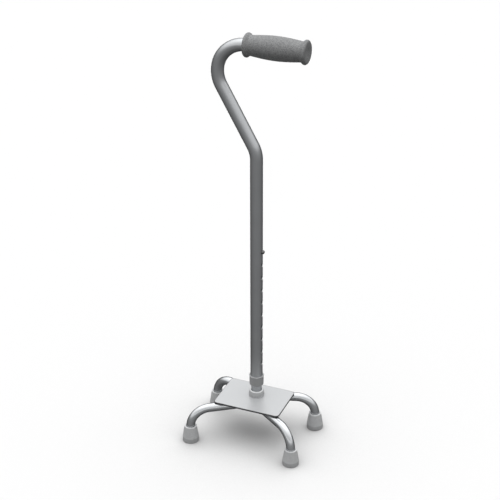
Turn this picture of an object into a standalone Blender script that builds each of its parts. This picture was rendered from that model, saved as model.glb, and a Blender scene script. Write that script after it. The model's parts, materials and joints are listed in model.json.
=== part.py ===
"""Quad cane: a gooseneck handle tube that telescopes on a stem, over a plate on four rubber-tipped legs.

Metres, +Z up. The origin lies on the floor, midway between the four feet. The grip points along +X.
The stem stands nearer the back feet (+Y), and the middles of the two leg tubes pass beside its bolt.
"""
import math

import bmesh
import bpy
from mathutils import Matrix

MM = 0.001

# Shared by the whole cane
GAP = 0.3 * MM              # left between two pieces that touch
TUBE_SIDES = 24             # facets round the handle tube, the stem and the larger turned pieces
LEG_SIDES = 16              # facets round a leg tube
SMALL_SIDES = 16            # facets round bolts, buttons, washers and drilled holes
SHARP = math.radians(35)    # edges that turn more than this stay sharp

# Rubber tips and the washers inside them
TIP_HEIGHT = 32.0 * MM
TIP_WALL = 3.0 * MM         # rubber round the leg at the tip's rim
TIP_FLARE = 3.6 * MM        # how much wider the foot is than the rim, in radius
TIP_BAND = 9.0 * MM         # height of the straight band round the foot
TIP_SOLE = 7.0 * MM         # rubber below the socket
TIP_EDGE = 1.0 * MM         # rounding of the tip's edges
TIP_WASHER_THICK = 1.6 * MM
TIP_WASHER_HOLE = 5.0 * MM

# Leg tubes
FOOT_SPAN_X = 197.0 * MM    # between the feet, along the plate
FOOT_SPAN_Y = 125.0 * MM    # between the feet, across the plate
LEG_OD = 15.9 * MM
LEG_WALL = 1.5 * MM
LEG_BEND = 35.0 * MM        # centre-line radius of the turn down to each foot
BEND_TUCK = 2.0 * MM        # how far that turn starts below the tip's rim
FRONT_MIDDLE_BEND = 50.0 * MM
BACK_MIDDLE_BEND = 60.0 * MM
FRONT_SPACE = 5.3 * MM      # from the bolt's washer to the front tube
BACK_SPACE = 1.0 * MM       # from the bolt's washer to the back tube

# Base plate
PLATE_LENGTH = 127.0 * MM
PLATE_WIDTH = 87.5 * MM
PLATE_THICK = 3.0 * MM
PLATE_CORNER = 7.0 * MM
PLATE_EDGE = 0.5 * MM       # rounding of the plate's edges
PLATE_FORWARD = 10.3 * MM   # plate's middle, in front of the stem
STEM_BACK = 16.5 * MM       # stem's axis, behind the middle of the feet

# Stem, with its plug, bolt and boot
STEM_OD = 19.0 * MM
STEM_WALL = 1.6 * MM
STEM_ABOVE_BUTTON = 22.0 * MM
PLUG_LENGTH = 20.0 * MM
BOLT_OD = 8.0 * MM
BOLT_REACH = 16.0 * MM      # how far the bolt goes above the plate, into the plug
BOLT_HEAD_AF = 13.0 * MM    # across the flats
BOLT_HEAD_HEIGHT = 5.3 * MM
WASHER_OD = 16.5 * MM
WASHER_THICK = 1.6 * MM
LOCK_WASHER_OD = 13.8 * MM
LOCK_WASHER_THICK = 2.0 * MM
LOCK_WASHER_SLIT = 1.2 * MM
BOOT_HEIGHT = 10.7 * MM
BOOT_RIM_WALL = 2.2 * MM
BOOT_FOOT_WALL = 4.5 * MM
BOOT_BAND = 3.5 * MM        # height of its widest ring over the plate
BOOT_EDGE = 1.2 * MM
GLIDE_LENGTH = 10.0 * MM
GLIDE_RIM = 2.5 * MM

# Snap button and its leaf spring
BUTTON_OD = 7.4 * MM
BUTTON_PROUD = 4.3 * MM     # beyond the handle tube
BUTTON_PLAY = 0.4 * MM      # round the button, in the holes
BUTTON_FLANGE = 0.9 * MM    # how far the flange stands out round the button
BUTTON_FLANGE_THICK = 1.0 * MM
SPRING_WIDTH = 7.5 * MM
SPRING_THICK = 0.5 * MM
SPRING_DROP = 34.0 * MM     # from the button's axis to the middle of the spring's bend
SPRING_BEND = 2.2 * MM
SPRING_END = 5.0 * MM       # upright end of each leaf, above and below the button's axis

# Handle tube
HANDLE_WALL = 1.2 * MM
HANDLE_PLAY = 0.4 * MM      # round the stem, inside the handle tube
LOWEST_HOLE = 39.3 * MM     # above the tube's lower end
HOLE_PITCH = 25.4 * MM
HOLE_COUNT = 10
NECK_RISE = 176.0 * MM      # from the top hole to the lower bend
LOWER_BEND = 51.0 * MM
LEAN = math.radians(29.3)
LEAN_RUN = 116.6 * MM
UPPER_BEND = 52.9 * MM
GRIP_TILT = math.radians(1.2)

# Locking collar and the ring that it squeezes
COLLAR_WALL = 1.5 * MM
COLLAR_HEIGHT = 20.3 * MM
COLLAR_SPACE = 11.0 * MM    # stem left bare between the boot and the collar
COLLAR_LIP = 2.0 * MM
COLLAR_EDGE = 0.8 * MM
RING_HEIGHT = 7.5 * MM
RING_CONE = 3.2 * MM
RING_NOSE = 0.7 * MM        # wall left at the cone's lower end
RING_SLIT = 1.6 * MM

# Hand grip
GRIP_LENGTH = 109.0 * MM
GRIP_END_WALL = 5.0 * MM
GRIP_BEAD_OD = 40.2 * MM
GRIP_BEAD = 4.2 * MM        # from the end to the bead's crest
GRIP_FACE_OD = 31.0 * MM
GRIP_NECK_OD = 35.2 * MM
GRIP_NECK = 10.5 * MM       # from the end to the narrowest place
GRIP_BELLY_OD = 41.2 * MM

# Radii that follow from the sizes above
leg_r = LEG_OD / 2
stem_r = STEM_OD / 2
stem_bore_r = stem_r - STEM_WALL
stem_bore_flat = stem_bore_r * math.cos(math.pi / TUBE_SIDES)
handle_bore_r = stem_r + HANDLE_PLAY
handle_r = handle_bore_r + HANDLE_WALL
collar_bore_r = handle_r + GAP
ring_bore_r = stem_r + GAP
button_r = BUTTON_OD / 2
flange_r = button_r + BUTTON_FLANGE
hole_r = button_r + BUTTON_PLAY
bolt_r = BOLT_OD / 2
bolt_hole_r = bolt_r + GAP
bolt_head_r = BOLT_HEAD_AF / 2 / math.cos(math.pi / 6)
washer_r = WASHER_OD / 2
lock_washer_r = LOCK_WASHER_OD / 2

# Heights that follow, from the floor up
leg_end = TIP_SOLE + TIP_WASHER_THICK + 2 * GAP
leg_bend_start = TIP_HEIGHT - BEND_TUCK
leg_level = leg_bend_start + LEG_BEND
plate_bottom = leg_level + leg_r + GAP
plate_middle = plate_bottom + PLATE_THICK / 2
plate_top = plate_bottom + PLATE_THICK
stem_base = plate_top + GAP
boot_top = stem_base + BOOT_HEIGHT
collar_base = boot_top + COLLAR_SPACE
ring_base = collar_base + COLLAR_LIP + GAP
ring_top = ring_base + RING_HEIGHT
handle_base = ring_top + GAP
lowest_hole = handle_base + LOWEST_HOLE
button_height = lowest_hole + HOLE_PITCH * (HOLE_COUNT - 1)
stem_top = button_height + STEM_ABOVE_BUTTON
neck_height = button_height + NECK_RISE

# Places along the button's axis, out from the stem's
flange_front = math.sqrt(stem_bore_flat ** 2 - flange_r ** 2) - GAP
flange_back = flange_front - BUTTON_FLANGE_THICK
front_leaf = flange_back - GAP - SPRING_THICK / 2
back_leaf = GAP + SPRING_THICK / 2 - math.sqrt(stem_bore_flat ** 2 - (SPRING_WIDTH / 2) ** 2)


def clear_scene():
    """Empty the scene of objects and collections."""
    for item in list(bpy.data.objects):
        bpy.data.objects.remove(item, do_unlink=True)
    for group in list(bpy.data.collections):
        bpy.data.collections.remove(group)


def new_collection(name):
    group = bpy.data.collections.new(name)
    bpy.context.scene.collection.children.link(group)
    return group


def finish(piece, colour, roughness, metallic):
    """Give a piece a material of its own, in one even colour."""
    material = bpy.data.materials.new(piece.name + "_finish")
    material.use_nodes = True
    shader = material.node_tree.nodes["Principled BSDF"]
    shader.inputs["Base Color"].default_value = (*colour, 1)
    shader.inputs["Roughness"].default_value = roughness
    shader.inputs["Metallic"].default_value = metallic
    piece.data.materials.clear()
    piece.data.materials.append(material)


def satin_metal(piece):
    finish(piece, (0.21, 0.22, 0.23), 0.38, 1.0)


def bright_metal(piece):
    finish(piece, (0.62, 0.63, 0.64), 0.22, 1.0)


def plated_steel(piece):
    finish(piece, (0.55, 0.56, 0.57), 0.32, 1.0)


def painted_steel(piece):
    finish(piece, (0.60, 0.61, 0.62), 0.45, 0.3)


def grey_rubber(piece):
    finish(piece, (0.30, 0.30, 0.30), 0.75, 0.0)


def grey_plastic(piece):
    finish(piece, (0.20, 0.20, 0.21), 0.45, 0.0)


def grey_foam(piece):
    finish(piece, (0.17, 0.17, 0.175), 0.9, 0.0)


def add_body(name, place):
    """An empty on the axis that its pieces move about."""
    body = bpy.data.objects.new(name, None)
    body.location = place
    parts.objects.link(body)
    return body


def add(mesh, name, body, place=(0, 0, 0), turn=(0, 0, 0)):
    """A piece made of one mesh, placed from its body's empty."""
    piece = bpy.data.objects.new(name, mesh)
    parts.objects.link(piece)
    piece.parent = body
    piece.location = place
    piece.rotation_euler = turn
    return piece


def combine(piece, mesh, operation='DIFFERENCE'):
    """Cut a mesh that lies round the stem's axis out of a piece, or join it on."""
    tool = bpy.data.objects.new(mesh.name, mesh)
    cutters.objects.link(tool)
    tool.location = (0, STEM_BACK, 0)
    tool.hide_render = True
    tool.display_type = 'WIRE'
    step = piece.modifiers.new(mesh.name, 'BOOLEAN')
    step.operation = operation
    step.solver = 'EXACT'
    step.object = tool


def settle(shape):
    """Make a shape's evaluated surface a welded mesh that points outwards, and remove the shape."""
    parts.objects.link(shape)
    scene_state = bpy.context.evaluated_depsgraph_get()
    mesh = bpy.data.meshes.new_from_object(shape.evaluated_get(scene_state))
    bpy.data.objects.remove(shape, do_unlink=True)
    work = bmesh.new()
    work.from_mesh(mesh)
    bmesh.ops.remove_doubles(work, verts=work.verts, dist=0.00001)
    bmesh.ops.recalc_face_normals(work, faces=work.faces)
    work.to_mesh(mesh)
    work.free()
    mesh.shade_smooth()
    mesh.set_sharp_from_angle(angle=SHARP)
    return mesh


def turned(name, outline, sides=TUBE_SIDES, closed=True):
    """A solid turned about Z. Its outline runs down the outside, then up the inside."""
    count = len(outline)
    edges = [(i, i + 1) for i in range(count - 1)]
    if closed:
        edges.append((count - 1, 0))
    profile = bpy.data.meshes.new(name)
    profile.from_pydata([(radius, 0, height) for radius, height in outline], edges, [])
    shape = bpy.data.objects.new(name, profile)
    screw = shape.modifiers.new("turn", 'SCREW')
    screw.axis = 'Z'
    screw.angle = 2 * math.pi
    screw.steps = sides
    screw.render_steps = sides
    screw.use_merge_vertices = True
    screw.merge_threshold = 0.00001
    return settle(shape)


def ring(name, outer_r, inner_r, low, high, sides=TUBE_SIDES):
    """A plain ring or tube about Z, between two heights."""
    return turned(name, [(outer_r, high), (outer_r, low), (inner_r, low), (inner_r, high)], sides)


def rod(name, radius, low, high, sides=SMALL_SIDES):
    """A plain bar about Z, between two heights."""
    return turned(name, [(0, high), (radius, high), (radius, low), (0, low)], sides, closed=False)


def round_corner(centre, radius, start, stop, steps):
    """Points on an arc in a profile. Its angles, in degrees, count from the outward direction."""
    points = []
    for i in range(steps + 1):
        angle = math.radians(start + (stop - start) * i / steps)
        points.append((centre[0] + radius * math.cos(angle), centre[1] + radius * math.sin(angle)))
    return points


def new_curve(name, points, dimensions):
    """A curve object of one straight-sided spline."""
    curve = bpy.data.curves.new(name, 'CURVE')
    curve.dimensions = dimensions
    spline = curve.splines.new('POLY')
    spline.points.add(len(points) - 1)
    for point, place in zip(spline.points, points):
        point.co = (*place, 1)
    return bpy.data.objects.new(name, curve)


def flat(name, outline, thickness):
    """A flat outline in the XY plane, thickened equally to both sides."""
    shape = new_curve(name, [(x, y, 0) for x, y in outline], '2D')
    shape.data.splines[0].use_cyclic_u = True
    shape.data.fill_mode = 'BOTH'
    shape.data.extrude = thickness / 2
    return settle(shape)


def swept(name, path, radius, sides):
    """A round bar along a path."""
    shape = new_curve(name, path, '3D')
    shape.data.bevel_depth = radius
    shape.data.bevel_resolution = (sides - 4) // 2
    shape.data.use_fill_caps = True
    return settle(shape)


def lengthened(path, extra):
    """The same path, run on straight past both its ends."""
    ends = []
    for end, inner in ((path[0], path[1]), (path[-1], path[-2])):
        share = extra / math.dist(end, inner)
        ends.append(tuple(a + (a - b) * share for a, b in zip(end, inner)))
    return [ends[0], *path[1:-1], ends[1]]


def add_tube(name, path, outer_r, wall, sides, body):
    """A bent tube, bored from end to end."""
    tube = add(swept(name, path, outer_r, sides), name, body)
    combine(tube, swept(name + "_bore", lengthened(path, outer_r), outer_r - wall, sides))
    return tube


def box(name, size, centre):
    work = bmesh.new()
    bmesh.ops.create_cube(work, size=1)
    bmesh.ops.scale(work, vec=size, verts=work.verts)
    bmesh.ops.translate(work, vec=centre, verts=work.verts)
    mesh = bpy.data.meshes.new(name)
    work.to_mesh(mesh)
    work.free()
    return mesh


def drill_bits(name, start, stop, heights):
    """Round bars along X at several heights, for drilling through tubes."""
    turn_to_x = Matrix.Rotation(math.pi / 2, 4, 'Y')
    work = bmesh.new()
    for height in heights:
        place = Matrix.Translation(((start + stop) / 2, 0, height)) @ turn_to_x
        bmesh.ops.create_cone(work, cap_ends=True, segments=SMALL_SIDES, radius1=hole_r, radius2=hole_r,
                              depth=stop - start, matrix=place)
    mesh = bpy.data.meshes.new(name)
    work.to_mesh(mesh)
    work.free()
    return mesh


def leg_path(side, middle_bend, space):
    """Centre line of a leg tube, from its left foot round beside the bolt to its right one.

    side is -1 for the front tube and 1 for the back one. Seen from above, an arc beside the bolt runs
    on straight to both feet, and splay is the angle of that straight run to the plate's long edge.
    """
    foot_x = FOOT_SPAN_X / 2
    foot_y = FOOT_SPAN_Y / 2 - side * STEM_BACK
    middle = max(washer_r, lock_washer_r, bolt_head_r) + space + leg_r
    past_centre = foot_y - middle - middle_bend
    splay = math.atan2(past_centre, foot_x) + math.asin(middle_bend / math.hypot(foot_x, past_centre))
    half = [(foot_x, foot_y, leg_end)]
    for inward, height in round_corner((LEG_BEND, leg_bend_start), LEG_BEND, 180, 90, 10):
        half.append((foot_x - inward * math.cos(splay), foot_y - inward * math.sin(splay), height))
    for x, y in round_corner((0, middle + middle_bend), middle_bend, math.degrees(splay) - 90, -90, 4):
        half.append((x, y, leg_level))
    right = [(x, side * y, z) for x, y, z in half]
    left = [(-x, y, z) for x, y, z in right[:-1]]
    return [*left, *reversed(right)]


def make_leg_tubes():
    """Two bent tubes under the plate, each with a leg at both ends."""
    front = leg_path(-1, FRONT_MIDDLE_BEND, FRONT_SPACE)
    back = leg_path(1, BACK_MIDDLE_BEND, BACK_SPACE)
    bright_metal(add_tube("front_leg_tube", front, leg_r, LEG_WALL, LEG_SIDES, base))
    bright_metal(add_tube("back_leg_tube", back, leg_r, LEG_WALL, LEG_SIDES, base))


def tip_outline():
    """Flared cup with a straight band round its foot and a socket for the leg."""
    socket_r = leg_r + GAP
    rim_r = socket_r + TIP_WALL
    foot_r = rim_r + TIP_FLARE
    outline = [(0, TIP_SOLE), (socket_r, TIP_SOLE), (socket_r, TIP_HEIGHT)]
    outline += round_corner((rim_r - TIP_EDGE, TIP_HEIGHT - TIP_EDGE), TIP_EDGE, 90, 0, 3)
    outline += round_corner((foot_r - 2 * TIP_EDGE, TIP_BAND), 2 * TIP_EDGE, 30, 0, 2)
    outline += [(foot_r, TIP_EDGE), (foot_r - TIP_EDGE, 0), (0, 0)]
    return outline


def make_feet():
    """The four tips and the steel washers in their sockets, named by where they stand."""
    for side, row in ((-1, "front"), (1, "back")):
        for hand, column in ((-1, "left"), (1, "right")):
            where = row + "_" + column
            place = (hand * FOOT_SPAN_X / 2, side * FOOT_SPAN_Y / 2 - STEM_BACK, 0)
            tip = turned("tip_" + where, tip_outline(), closed=False)
            grey_rubber(add(tip, "tip_" + where, base, place))
            washer = ring("tip_washer_" + where, leg_r, TIP_WASHER_HOLE / 2, TIP_SOLE + GAP,
                          TIP_SOLE + GAP + TIP_WASHER_THICK, SMALL_SIDES)
            plated_steel(add(washer, "tip_washer_" + where, base, place))


def make_base_plate():
    """Flat plate with round corners, drilled for the stem's bolt."""
    corner_x = PLATE_LENGTH / 2 - PLATE_CORNER
    corner_y = PLATE_WIDTH / 2 - PLATE_CORNER
    outline = []
    for x, y, start in ((1, 1, 0), (-1, 1, 90), (-1, -1, 180), (1, -1, 270)):
        outline += round_corner((x * corner_x, y * corner_y), PLATE_CORNER, start, start + 90, 6)
    plate = add(flat("base_plate", outline, PLATE_THICK), "base_plate", base, (0, -PLATE_FORWARD, plate_middle))
    rounding = plate.modifiers.new("edges", 'BEVEL')
    rounding.width = PLATE_EDGE
    rounding.segments = 2
    rounding.limit_method = 'ANGLE'
    rounding.angle_limit = SHARP
    combine(plate, rod("plate_hole", bolt_hole_r, plate_bottom - PLATE_THICK, plate_top + PLATE_THICK))
    painted_steel(plate)


def make_stem():
    """The straight tube on the plate, its button hole, and the threaded plug in its foot."""
    stem = add(ring("stem_tube", stem_r, stem_bore_r, stem_base, stem_top), "stem_tube", base)
    combine(stem, drill_bits("stem_hole", 0, STEM_OD, [button_height]))
    bright_metal(stem)
    plug = ring("stem_plug", stem_bore_r - GAP, bolt_hole_r, stem_base, stem_base + PLUG_LENGTH)
    plated_steel(add(plug, "stem_plug", base))


def make_stem_bolt():
    """Hexagon bolt with a spring washer and a flat washer, up through the plate into the plug."""
    washer_low = plate_bottom - GAP - WASHER_THICK
    washer = ring("stem_bolt_washer", washer_r, bolt_hole_r, washer_low, washer_low + WASHER_THICK)
    plated_steel(add(washer, "stem_bolt_washer", base))

    lock_low = washer_low - GAP - LOCK_WASHER_THICK
    lock = ring("stem_lock_washer", lock_washer_r, bolt_hole_r, lock_low, lock_low + LOCK_WASHER_THICK)
    lock = add(lock, "stem_lock_washer", base)
    combine(lock, box("lock_washer_slit", (LOCK_WASHER_OD, LOCK_WASHER_SLIT, 3 * LOCK_WASHER_THICK),
                      (lock_washer_r, 0, lock_low)))
    plated_steel(lock)

    head_top = lock_low - GAP
    head_middle = head_top - BOLT_HEAD_HEIGHT / 2
    head = rod("stem_bolt", bolt_head_r, head_top - BOLT_HEAD_HEIGHT, head_top, sides=6)
    bolt = add(head, "stem_bolt", base)
    combine(bolt, rod("bolt_shank", bolt_r, head_middle, plate_top + BOLT_REACH), 'UNION')
    plated_steel(bolt)


def make_stem_boot():
    """Flared rubber ring round the stem's foot."""
    inner_r = stem_r + GAP
    rim_r = inner_r + BOOT_RIM_WALL
    foot_r = inner_r + BOOT_FOOT_WALL
    outline = [(inner_r, boot_top)]
    outline += round_corner((rim_r - BOOT_EDGE, boot_top - BOOT_EDGE), BOOT_EDGE, 90, 0, 3)
    outline += [(foot_r, stem_base + BOOT_BAND)]
    outline += round_corner((foot_r - BOOT_EDGE, stem_base + BOOT_EDGE), BOOT_EDGE, 0, -90, 3)
    outline += [(inner_r, stem_base)]
    grey_rubber(add(turned("stem_boot", outline), "stem_boot", base))


def make_stem_glide():
    """Plastic plug in the stem's upper end, whose rim keeps it central in the handle tube."""
    rim_r = stem_r + HANDLE_PLAY / 4
    neck_r = stem_bore_r - GAP
    low = stem_top + GAP
    top = low + GLIDE_RIM
    edge = GLIDE_RIM / 3
    outline = [(0, top), (rim_r - edge, top), (rim_r, top - edge), (rim_r, low), (neck_r, low),
               (neck_r, low - GLIDE_LENGTH), (0, low - GLIDE_LENGTH)]
    grey_plastic(add(turned("stem_glide", outline, closed=False), "stem_glide", base))


def make_snap_button():
    """Round-nosed button with a flange that keeps it in the stem. Its own Z is the cane's X."""
    tip = handle_r + BUTTON_PROUD
    outline = [(0, tip), *round_corner((0, tip - button_r), button_r, 90, 0, 5)[1:]]
    outline += [(button_r, flange_front), (flange_r, flange_front), (flange_r, flange_back), (0, flange_back)]
    mesh = turned("snap_button", outline, SMALL_SIDES, closed=False)
    bright_metal(add(mesh, "snap_button", button, turn=(0, math.pi / 2, 0)))


def make_button_spring():
    """Leaf spring bent to a V, with one leaf behind the button and one on the stem's far wall."""
    half = SPRING_THICK / 2
    middle = (front_leaf + back_leaf) / 2
    line = [(front_leaf, SPRING_END), (front_leaf, -SPRING_END)]
    line += round_corner((middle, -SPRING_DROP), SPRING_BEND, 0, -180, 8)
    line += [(back_leaf, -SPRING_END), (back_leaf, SPRING_END)]
    inner_side = []
    outer_side = []
    for i, (x, z) in enumerate(line):
        before = line[max(i - 1, 0)]
        after = line[min(i + 1, len(line) - 1)]
        along_x, along_z = after[0] - before[0], after[1] - before[1]
        share = half / math.hypot(along_x, along_z)
        inner_side.append((x + along_z * share, z - along_x * share))
        outer_side.append((x - along_z * share, z + along_x * share))
    mesh = flat("button_spring", inner_side + outer_side[::-1], SPRING_WIDTH)
    bright_metal(add(mesh, "button_spring", base, (0, 0, button_height), (math.pi / 2, 0, 0)))


def make_squeeze_ring():
    """Split plastic ring under the handle tube's end, coned where the collar squeezes it on the stem."""
    outline = [(handle_r, ring_top), (handle_r, ring_base + RING_CONE), (ring_bore_r + RING_NOSE, ring_base),
               (ring_bore_r, ring_base), (ring_bore_r, ring_top)]
    split = add(turned("squeeze_ring", outline), "squeeze_ring", sleeve)
    combine(split, box("ring_slit", (2 * handle_r, RING_SLIT, 3 * RING_HEIGHT), (-handle_r, 0, ring_base)))
    grey_plastic(split)


def make_lock_collar():
    """Plastic collar round the handle tube's end, coned inside where it squeezes the split ring."""
    outer_r = collar_bore_r + COLLAR_WALL
    top = collar_base + COLLAR_HEIGHT
    shoulder = collar_base + COLLAR_LIP
    outline = [(collar_bore_r, top)]
    outline += round_corner((outer_r - COLLAR_EDGE, top - COLLAR_EDGE), COLLAR_EDGE, 90, 0, 3)
    outline += [(outer_r, collar_base + COLLAR_EDGE / 2), (outer_r - COLLAR_EDGE / 2, collar_base),
                (ring_bore_r, collar_base), (ring_bore_r, shoulder),
                (ring_bore_r + RING_NOSE + GAP, shoulder), (collar_bore_r, ring_base + RING_CONE)]
    grey_plastic(add(turned("lock_collar", outline), "lock_collar", collar))


def neck_path():
    """Centre line of the handle tube in its own XZ plane, from its lower end to the grip's."""
    path = [(0, handle_base)]
    path += round_corner((-LOWER_BEND, neck_height), LOWER_BEND, 0, math.degrees(LEAN), 5)
    x = path[-1][0] - LEAN_RUN * math.sin(LEAN)
    z = path[-1][1] + LEAN_RUN * math.cos(LEAN)
    centre = (x + UPPER_BEND * math.cos(LEAN), z + UPPER_BEND * math.sin(LEAN))
    path += round_corner(centre, UPPER_BEND, 180 + math.degrees(LEAN), 90 + math.degrees(GRIP_TILT), 16)
    return path


def make_handle_tube():
    """Bent tube, drilled right through at every height setting."""
    path = neck_path()
    inside_grip = GRIP_LENGTH - GRIP_END_WALL - GAP
    x, z = path[-1]
    path.append((x + inside_grip * math.cos(GRIP_TILT), z + inside_grip * math.sin(GRIP_TILT)))
    tube = add_tube("handle_tube", [(x, 0, z) for x, z in path], handle_r, HANDLE_WALL, TUBE_SIDES, handle)
    heights = [lowest_hole + HOLE_PITCH * i for i in range(HOLE_COUNT)]
    combine(tube, drill_bits("height_holes", -2 * handle_r, 2 * handle_r, heights))
    satin_metal(tube)


def grip_outline():
    """Side of the grip, from its closed end back to its open one: a bead, a belly and a bead."""
    bead_r = GRIP_BEAD_OD / 2
    face_r = GRIP_FACE_OD / 2
    neck_r = GRIP_NECK_OD / 2
    swell = (GRIP_BELLY_OD - GRIP_NECK_OD) / 2
    bead = []
    for i in range(5):
        turn = math.pi / 2 * i / 4
        bead.append((face_r + (bead_r - face_r) * math.sin(turn), GRIP_BEAD * (1 - math.cos(turn))))
    fall = (GRIP_BEAD + GRIP_NECK) / 2
    bead += [((bead_r + neck_r) / 2 + 0.2 * (bead_r - neck_r), fall), (neck_r, GRIP_NECK)]
    half = GRIP_LENGTH / 2
    belly = []
    for i in range(1, 10):
        share = 1 - i / 5
        belly.append((neck_r + swell * math.cos(math.pi / 2 * share), half + share * (half - GRIP_NECK)))
    far = [(radius, GRIP_LENGTH - along) for radius, along in bead]
    return [*far, *belly, *reversed(bead)]


def make_hand_grip():
    """Moulded foam grip, closed over the tube's end."""
    bore_r = handle_r + GAP
    bore_end = GRIP_LENGTH - GRIP_END_WALL
    outline = [(0, GRIP_LENGTH), *grip_outline(), (bore_r, 0), (bore_r, bore_end), (0, bore_end)]
    x, z = neck_path()[-1]
    mesh = turned("hand_grip", outline, closed=False)
    grey_foam(add(mesh, "hand_grip", handle, (x, 0, z), (0, math.pi / 2 - GRIP_TILT, 0)))


clear_scene()
parts = new_collection("quad_cane")
cutters = new_collection("cutters")
base = add_body("base_body", (0, STEM_BACK, 0))
sleeve = add_body("sleeve_body", (0, STEM_BACK, 0))
handle = add_body("handle_body", (0, STEM_BACK, 0))
collar = add_body("collar_body", (0, STEM_BACK, 0))
button = add_body("button_body", (0, STEM_BACK, button_height))

make_feet()
make_leg_tubes()
make_base_plate()
make_stem()
make_stem_bolt()
make_stem_boot()
make_stem_glide()
make_snap_button()
make_button_spring()
make_squeeze_ring()
make_lock_collar()
make_handle_tube()
make_hand_grip()
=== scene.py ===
"""Looks of the quad cane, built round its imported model.

Metres, +Z up. The origin lies on the floor, midway between the four feet, and the grip points along +X.
Each function whose name starts with make_ makes a piece, or pieces of one kind, and sets them in place.
"""
import json
import math

import bmesh
import bpy
from mathutils import Matrix, Vector, noise


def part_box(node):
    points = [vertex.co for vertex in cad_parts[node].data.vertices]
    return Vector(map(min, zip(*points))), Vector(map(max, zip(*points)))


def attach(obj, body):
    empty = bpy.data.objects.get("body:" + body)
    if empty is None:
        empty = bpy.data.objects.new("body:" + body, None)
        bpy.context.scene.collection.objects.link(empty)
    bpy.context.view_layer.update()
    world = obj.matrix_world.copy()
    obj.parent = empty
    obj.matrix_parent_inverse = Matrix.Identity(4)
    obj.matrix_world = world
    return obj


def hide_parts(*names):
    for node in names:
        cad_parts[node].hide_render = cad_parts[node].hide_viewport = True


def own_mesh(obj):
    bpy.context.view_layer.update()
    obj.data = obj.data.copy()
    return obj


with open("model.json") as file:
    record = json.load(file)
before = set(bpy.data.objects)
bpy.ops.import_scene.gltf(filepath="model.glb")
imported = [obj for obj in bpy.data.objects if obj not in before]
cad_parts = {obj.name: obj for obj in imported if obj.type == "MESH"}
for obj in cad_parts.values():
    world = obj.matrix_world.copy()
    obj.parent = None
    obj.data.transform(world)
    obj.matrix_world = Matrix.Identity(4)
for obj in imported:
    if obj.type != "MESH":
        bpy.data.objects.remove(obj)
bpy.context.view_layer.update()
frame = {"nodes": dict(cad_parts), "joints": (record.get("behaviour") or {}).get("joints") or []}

MM = 0.001

# Camera, from the plate's right angles and the height holes' spacing in the photograph
EYE = Vector((0.9340, -2.2613, 1.7183))
LOOK = Vector((-0.3370, 0.8111, -0.4781)).normalized()
ROLL = math.radians(0.141)
LENS = 115.2
SENSOR = 36.0

# Light
LIGHT_STRENGTH = 2.5
BACKDROP = 0.4              # tone that the camera sees beyond the floor
FRONT_WAY = (0.384, -0.923, 0.0)    # level, from the cane towards the camera
# What polished faces mirror and what lights matt ones: heights, from 0 below to 1 above, with brightness
MIRRORED = [(0.0, 0.05), (0.15, 0.08), (0.265, 0.109), (0.456, 0.13), (0.52, 0.18), (0.58, 0.31),
            (0.64, 0.54), (0.71, 0.60), (0.794, 0.63), (0.894, 0.77), (1.0, 0.95)]
SCATTERED = [(0.0, 0.03), (0.5, 0.03), (0.72, 0.09), (0.85, 0.31), (0.93, 0.82), (1.0, 1.0)]

# Floor
FLOOR_HALF = 12.0           # metres from the origin to each side
FLOOR_SHADE = 0.45          # tone of the paper where the cane hides the whole sky
FLOOR_OPEN = 0.87           # tone in the open
FLOOR_REACH = 0.38          # metres that the sky is searched for the cane
BOUNCE_FULL = 0.2           # metres from the origin where the paper still lights the cane fully
BOUNCE_LITTLE = 0.32        # and where it hardly does
BOUNCE_TONE = 0.05          # its tone for such light from there on

# Meshes
TUBE_COLUMNS = 64           # faces round a tube
TURNED_COLUMNS = 72         # faces round a turned piece
GRIP_COLUMNS = 160          # faces round the grip
BOLT_COLUMNS = 96           # a multiple of 12, so that the hexagon's corners are drawn
PATCH = 12                  # faces along each side of the square round a drilled hole
STRAIGHT_STEP = 20 * MM     # longest face on a straight run
BEND_STEP = 2.0             # degrees of bend in one face
ROUNDING_STEP = 15.0        # degrees in one face of a small rounding
SHARP = math.radians(38)

# Metal seen at a slant keeps this share of its brightness
EDGE_TINT = 0.2

# Attribute in which a bent tube keeps each point's place before it was bent
STRAIGHT = "straight"

# Share of blue in the finishes' greys
COOL = 0.012
COOL_METAL = 0.025
COOL_COAT = 0.018
BROWN_WELD = -0.04          # less blue than red, from the heat

# Clearances and walls, as the model has them
GAP = 0.3 * MM
HANDLE_WALL = 1.2 * MM
STEM_WALL = 1.6 * MM
LEG_WALL = 1.5 * MM
COLLAR_WALL = 1.5 * MM      # round the handle tube

# Drilled holes and cut ends of the tubes
HOLE_R = 4.1 * MM
HOLE_ROUND = 0.45 * MM      # rounding of a hole's edge
HOLE_PITCH = 25.4 * MM
HOLE_COUNT = 10             # on each side of the handle tube
LOWEST_HOLE = 39.3 * MM     # above the handle tube's lower end
END_ROUND = 0.35 * MM       # rounding of a cut end

# Bends of the handle tube
NECK_RISE = 176.5 * MM      # from the top hole to the lower bend
LOWER_BEND = 51.0 * MM
LEAN = 29.3                 # degrees from upright
LEAN_RUN = 116.6 * MM       # straight run between the bends
UPPER_BEND = 52.9 * MM
GRIP_TILT = 1.2             # degrees from level

# Leg tubes
LEG_R = 7.95 * MM
LEG_BEND = 35.0 * MM        # where each leg turns down to its foot
FRONT_MIDDLE_BEND = 50.0 * MM
BACK_MIDDLE_BEND = 60.0 * MM
FRONT_MIDDLE = 21.5 * MM    # from the bolt's axis to the front tube's
BACK_MIDDLE = 17.2 * MM     # from the bolt's axis to the back tube's

# Base plate, bolt and washer
PLATE_CORNER = 7.0 * MM
PLATE_EDGE = 0.6 * MM       # rounding along the edges
BOLT_HOLE_R = 4.3 * MM      # in the plate and in the flat washer
BOLT_R = 4.0 * MM           # shank
BOLT_FLAT = 6.5 * MM        # from the axis to a flat of the head
BOLT_HEAD = 5.3 * MM        # height of the head
WASHER_EDGE = 0.3 * MM

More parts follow.
